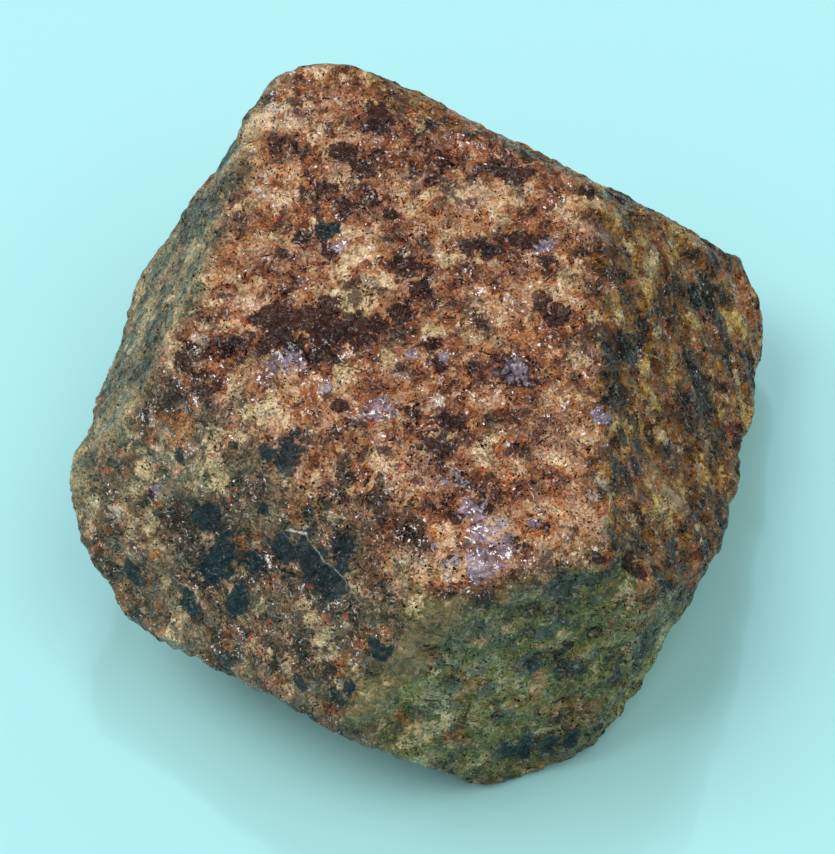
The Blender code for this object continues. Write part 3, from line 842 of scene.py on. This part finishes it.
def grit_and_painted_shade(add, colour, rough, fields, surface, lines, haze_colour):
    """The colour with sugary grit, and with painted shade along the seams and creases between grains: dark
    grains take light away, and light ones scatter a pale haze."""
    grit = add("Math", (weighed_sum(add, 0.0, fields, GRIT), rough), operation="MULTIPLY")
    haze = add("Math", (grit, 0.0), operation="MAXIMUM")
    shade = add("Math", (grit, 0.0), operation="MINIMUM")
    shade = add("Math", (shade, 1.0), operation="ADD")
    # painted shade in the seams and the creases between grains
    for name, depth in PAINTED_SHADE_DEPTHS.items():
        kept = add("Math", (lines[name], -depth, 1.0), operation="MULTIPLY_ADD")
        shade = add("Math", (shade, kept), operation="MULTIPLY")
    shade = add("Math", (shade, DARKEST_SHADE), operation="MAXIMUM")
    shade = add("Math", (haze, GRIT_LIGHT, shade), operation="MULTIPLY_ADD")
    colour = add("VectorMath", {0: colour, "Scale": shade}, operation="SCALE")
    clear = add("Math", (surface["brown"], -BROWN_CLEARNESS, 1.0), operation="MULTIPLY_ADD")
    haze = add("Math", (haze, clear), operation="MULTIPLY")
    haze = add("VectorMath", {0: haze_colour, "Scale": haze}, operation="SCALE")
    return add("VectorMath", (colour, haze), operation="ADD")


def veined(add, colour, space):
    """The colour with veins and cracks: how far away a bent line between two places is decides them, and how
    deep it lies hardly counts."""
    normals, distances, _ = face_planes()
    for start, end, width, hue in VEINS:
        down = tuple(normals[np.argmax(normals @ start - distances)])
        run = Vector(end) - Vector(start)
        offset = add("VectorMath", (space, start), operation="SUBTRACT")
        depth = add("VectorMath", (offset, down), "Value", operation="DOT_PRODUCT")
        depth = add("Math", (depth, -VEIN_SHALLOWING), operation="MULTIPLY")
        offset = add("VectorMath", (depth, down, offset), operation="MULTIPLY_ADD")
        share = add("VectorMath", (offset, tuple(run / run.length_squared)), "Value", operation="DOT_PRODUCT")
        foot = {0: tuple(run), "Scale": add("Clamp", (share,))}
        foot = add("VectorMath", foot, operation="SCALE")
        away = add("VectorMath", (offset, foot), "Value", operation="DISTANCE")
        inner, outer = (width * rim for rim in VEIN_RIM)
        line = add("MapRange", (away, inner, outer, VEIN_COVER, 0.0))
        colour = add("Mix", {0: line, 6: colour, 7: linear(hue)}, 2, data_type="RGBA")
    return colour


def fleck_and_glint_share(add, glints, rough, fields, surface, strokes):
    """Where flecks of pale mica and quartz show, in clusters, with short bright strokes: the flecks' pale
    colour is partly the minerals' own and partly a painted glint, and the strokes are painted glints.
    """
    cluster = add("MapRange", (weighed_sum(add, 0.5, fields, CLUSTERS), *CLUSTER_RANGE))
    crowd = add("Math", (glints, GLINT_CROWDING, cluster), operation="MULTIPLY_ADD")
    for family, loss in FEWER_FLECKS.items():
        crowd = add("Math", (surface[family], -loss, crowd), operation="MULTIPLY_ADD")
    flecks_and_glints = add("Math", (crowd, fields["tiny 2"]), operation="ADD")
    flecks_and_glints = add("Math", (fields["flake 1"], FLAKE_SHARE, flecks_and_glints), operation="MULTIPLY_ADD")
    flecks_and_glints = add("MapRange", (flecks_and_glints, *FLECK_EDGE, 0.0, 1.0))
    brightness = add("MapRange", (crowd, *STROKE_RANGE))
    strokes = add("Math", (brightness, strokes), operation="MULTIPLY")
    flecks_and_glints = add("Math", (flecks_and_glints, strokes), operation="MAXIMUM")
    return add("Math", (flecks_and_glints, rough), operation="MULTIPLY")


def broken_facets(add, glints, rough, colours, heights):
    """The surface's normal: broken facets of three sizes each face their own way, mica lies flat together
    where it glints, and small bulges lie over them."""
    facing = (-sum(lean for _, lean in FACET_LEANS) / 2,) * 3
    for name, lean in FACET_LEANS:
        facing = add("VectorMath", (colours[name], (lean,) * 3, facing), operation="MULTIPLY_ADD")
    facing = add("VectorMath", {0: facing, "Scale": rough}, operation="SCALE")
    flat = add("Math", (glints, CLEAVAGE_PULL), operation="MULTIPLY")
    flat = add("VectorMath", {0: CLEAVAGE, "Scale": flat}, operation="SCALE")
    facing = add("VectorMath", (facing, flat), operation="ADD")
    normal = add("VectorMath", (facing, add("NewGeometry", out="Normal")), operation="ADD")
    normal = add("VectorMath", (normal,), operation="NORMALIZE")
    height = 0.0
    for name, rise in BULGES.items():
        height = add("Math", (heights[name], rise, height), operation="MULTIPLY_ADD")
    bump = {"Height": height, "Distance": MM, "Strength": BULGE_STRENGTH, "Normal": normal}
    return add("Bump", bump)


def garnet_skin(settings):
    """Weathered garnet full of other mineral grains, as it comes out of the rock.

    Almandine with quartz, mica and dark hornblende in it, unpolished: red-brown to olive layers of grains
    that interlock, glassy enough that each tiny broken facet glints by itself.
    """
    material = bpy.data.materials.new("weathered_garnet")
    material.use_nodes = True
    material.node_tree.nodes.clear()
    add = partial(add_node, material.node_tree)
    spaces = pattern_spaces(add)
    fields, colours = pattern_fields(add, spaces)
    names = (*PATCHES, "band", *SHARED)
    surface = {name: add("Attribute", out="Fac", attribute_name=name) for name in names}
    glints = add("Math", (surface["glints"], 0.0), operation="MAXIMUM")

    # the layers show on the red and the green faces only, and the rest is clouded instead
    layered = add("Math", (surface["red"], surface["green"]), operation="ADD")
    for channel in range(3):
        clouds, streaks = (fields["%s %d" % (name, channel)] for name in ("clouds", "streaks"))
        fields["streaks %d" % channel] = add("Mix", {0: layered, 2: clouds, 3: streaks})

    colour, rough = mineral_colours(add, fields, surface)
    lines, off_middle = thin_lines(add, fields, layered)
    colour = grit_and_painted_shade(add, colour, rough, fields, surface, lines, settings.haze)
    colour = veined(add, colour, spaces["wavy"])
    flecks_and_glints = fleck_and_glint_share(add, glints, rough, fields, surface, lines["strokes"])
    # flecks of mica and quartz, their pale colour partly a painted glint
    colour = add("Mix", {0: flecks_and_glints, 6: colour, 7: settings.fleck_and_glint}, 2, data_type="RGBA")
    dull = add("MapRange", (rough, 0.0, 1.0, *DULLEST))
    skin = {
        "Base Color": colour,
        "Metallic": add("Math", (flecks_and_glints, PEARLINESS), operation="MULTIPLY"),
        "Roughness": add("MapRange", (fields["flake 2"], 0.0, 1.0, GLASSIEST, dull)),
        "IOR": 1.5,
        "Specular IOR Level": 0.2,
        "Normal": broken_facets(add, glints, rough, colours, fields | off_middle),
    }
    add("OutputMaterial", {"Surface": add("BsdfPrincipled", skin)})
    return material


# ---------------------------------------------------------------- operators


class GARNET_OT_crystal(bpy.types.Operator):
    """Make the garnet crystal"""

    bl_idname = "garnet.crystal"
    bl_label = "Garnet Crystal"

    def execute(self, context):
        settings = context.scene.garnet_crystal
        mesh = crystal_mesh(settings)
        mesh.materials.append(garnet_skin(settings))
        piece = bpy.data.objects.new("garnet_surface", mesh)
        context.scene.collection.objects.link(piece)
        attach(piece, "root")
        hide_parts("garnet_crystal")
        return {"FINISHED"}


class GarnetStageSettings(bpy.types.PropertyGroup):
    """The plain studio."""

    floor_colour: bpy.props.FloatVectorProperty(
        name="Floor", description="Colour of the floor", subtype="COLOR", size=4, default=linear("#A6E4EC")
    )
    floor_size: bpy.props.FloatProperty(
        name="Floor size", description="Side of the floor", unit="LENGTH", default=4.0
    )
    azimuth: bpy.props.FloatProperty(
        name="Azimuth", description="Camera's turn", subtype="ANGLE", default=np.radians(-16.0)
    )
    elevation: bpy.props.FloatProperty(
        name="Elevation", description="Camera's height angle", subtype="ANGLE", default=np.radians(53.5)
    )
    roll: bpy.props.FloatProperty(
        name="Roll", description="Camera's roll", subtype="ANGLE", default=np.radians(-6.8)
    )
    distance: bpy.props.FloatProperty(
        name="Distance", description="From the crystal's middle", unit="LENGTH", default=241.46 * MM
    )
    lens: bpy.props.FloatProperty(name="Lens", description="Focal length", unit="CAMERA", default=154.45)


# Area lights: name, place from the crystal's middle in mm, side in mm, watts and colour.
LIGHTS = (
    ("left_softbox", (-722, 207, 1413), 1000, 13.5, "#FFFAF2"),
    ("right_softbox", (364, -657, 1413), 1000, 8.6, "#FFFAF2"),
    ("overhead_panel", (90, 190, 520), 90, 0.35, "#F2F2FF"),
    ("small_glint", (60, 190, 420), 14, 0.16, "#F4F0FF"),
)
SURROUNDINGS = "#FFFAF2"
SURROUNDINGS_STRENGTH = 0.4
PAPER_ROUGHNESS = 0.9
NEAREST_SEEN = 10 * MM


class GARNET_OT_stage(bpy.types.Operator):
    """Make the floor, the lights and the camera"""

    bl_idname = "garnet.stage"
    bl_label = "Studio"

    def execute(self, context):
        scene = context.scene
        settings = scene.garnet_stage
        half = settings.floor_size / 2
        mesh = bpy.data.meshes.new("floor")
        corners = [(half * x, half * y, 0) for x, y in ((-1, -1), (1, -1), (1, 1), (-1, 1))]
        mesh.from_pydata(corners, [], [(0, 1, 2, 3)])
        paper = bpy.data.materials.new("matt_paper")  # dyed paper: even colour, hardly any shine
        paper.use_nodes = True
        shader = paper.node_tree.nodes["Principled BSDF"]
        shader.inputs["Base Color"].default_value = settings.floor_colour
        shader.inputs["Roughness"].default_value = PAPER_ROUGHNESS
        mesh.materials.append(paper)
        floor = bpy.data.objects.new("floor", mesh)
        scene.collection.objects.link(floor)

        middle = Vector(MIDDLE) * MM
        for name, place, side, watts, colour in LIGHTS:
            light = bpy.data.lights.new(name, "AREA")
            light.size = side * MM
            light.energy = watts
            light.color = linear(colour)[:3]
            lamp = bpy.data.objects.new(name, light)
            lamp.location = middle + Vector(place) * MM
            lamp.rotation_euler = Vector(place).to_track_quat("Z", "Y").to_euler()
            scene.collection.objects.link(lamp)

        world = bpy.data.worlds.new("studio")
        world.use_nodes = True
        background = world.node_tree.nodes["Background"]
        background.inputs["Color"].default_value = linear(SURROUNDINGS)
        background.inputs["Strength"].default_value = SURROUNDINGS_STRENGTH
        scene.world = world

        camera = bpy.data.cameras.new("camera")
        camera.lens = settings.lens
        camera.clip_start = NEAREST_SEEN
        viewer = bpy.data.objects.new("camera", camera)
        turn = Matrix.Rotation(settings.azimuth, 4, "Z")
        tip = Matrix.Rotation(np.pi / 2 - settings.elevation, 4, "X")
        turned = turn @ tip @ Matrix.Rotation(settings.roll, 4, "Z")
        back = turned.to_3x3() @ Vector((0, 0, 1))
        viewer.matrix_world = Matrix.Translation(middle + back * settings.distance) @ turned
        scene.collection.objects.link(viewer)
        scene.camera = viewer
        scene.view_settings.view_transform = "Standard"
        return {"FINISHED"}


class GARNET_PT_panel(bpy.types.Panel):
    """Lists what can be made"""

    bl_label = "Garnet"
    bl_idname = "GARNET_PT_panel"
    bl_space_type = "VIEW_3D"
    bl_region_type = "UI"
    bl_category = "Garnet"

    def draw(self, context):
        for operator, settings in (("garnet.crystal", "garnet_crystal"), ("garnet.stage", "garnet_stage")):
            box = self.layout.box()
            group = getattr(context.scene, settings)
            for name in group.__annotations__:
                box.prop(group, name)
            box.operator(operator)


CLASSES = (GarnetCrystalSettings, GarnetStageSettings, GARNET_OT_crystal, GARNET_OT_stage, GARNET_PT_panel)


def register():
    for kind in CLASSES:
        bpy.utils.register_class(kind)
    bpy.types.Scene.garnet_crystal = bpy.props.PointerProperty(type=GarnetCrystalSettings)
    bpy.types.Scene.garnet_stage = bpy.props.PointerProperty(type=GarnetStageSettings)


def unregister():
    del bpy.types.Scene.garnet_stage
    del bpy.types.Scene.garnet_crystal
    for kind in reversed(CLASSES):
        bpy.utils.unregister_class(kind)


def main():
    """Makes everything."""
    register()
    bpy.ops.garnet.crystal()
    bpy.ops.garnet.stage()


if __name__ == "__main__":
    main()
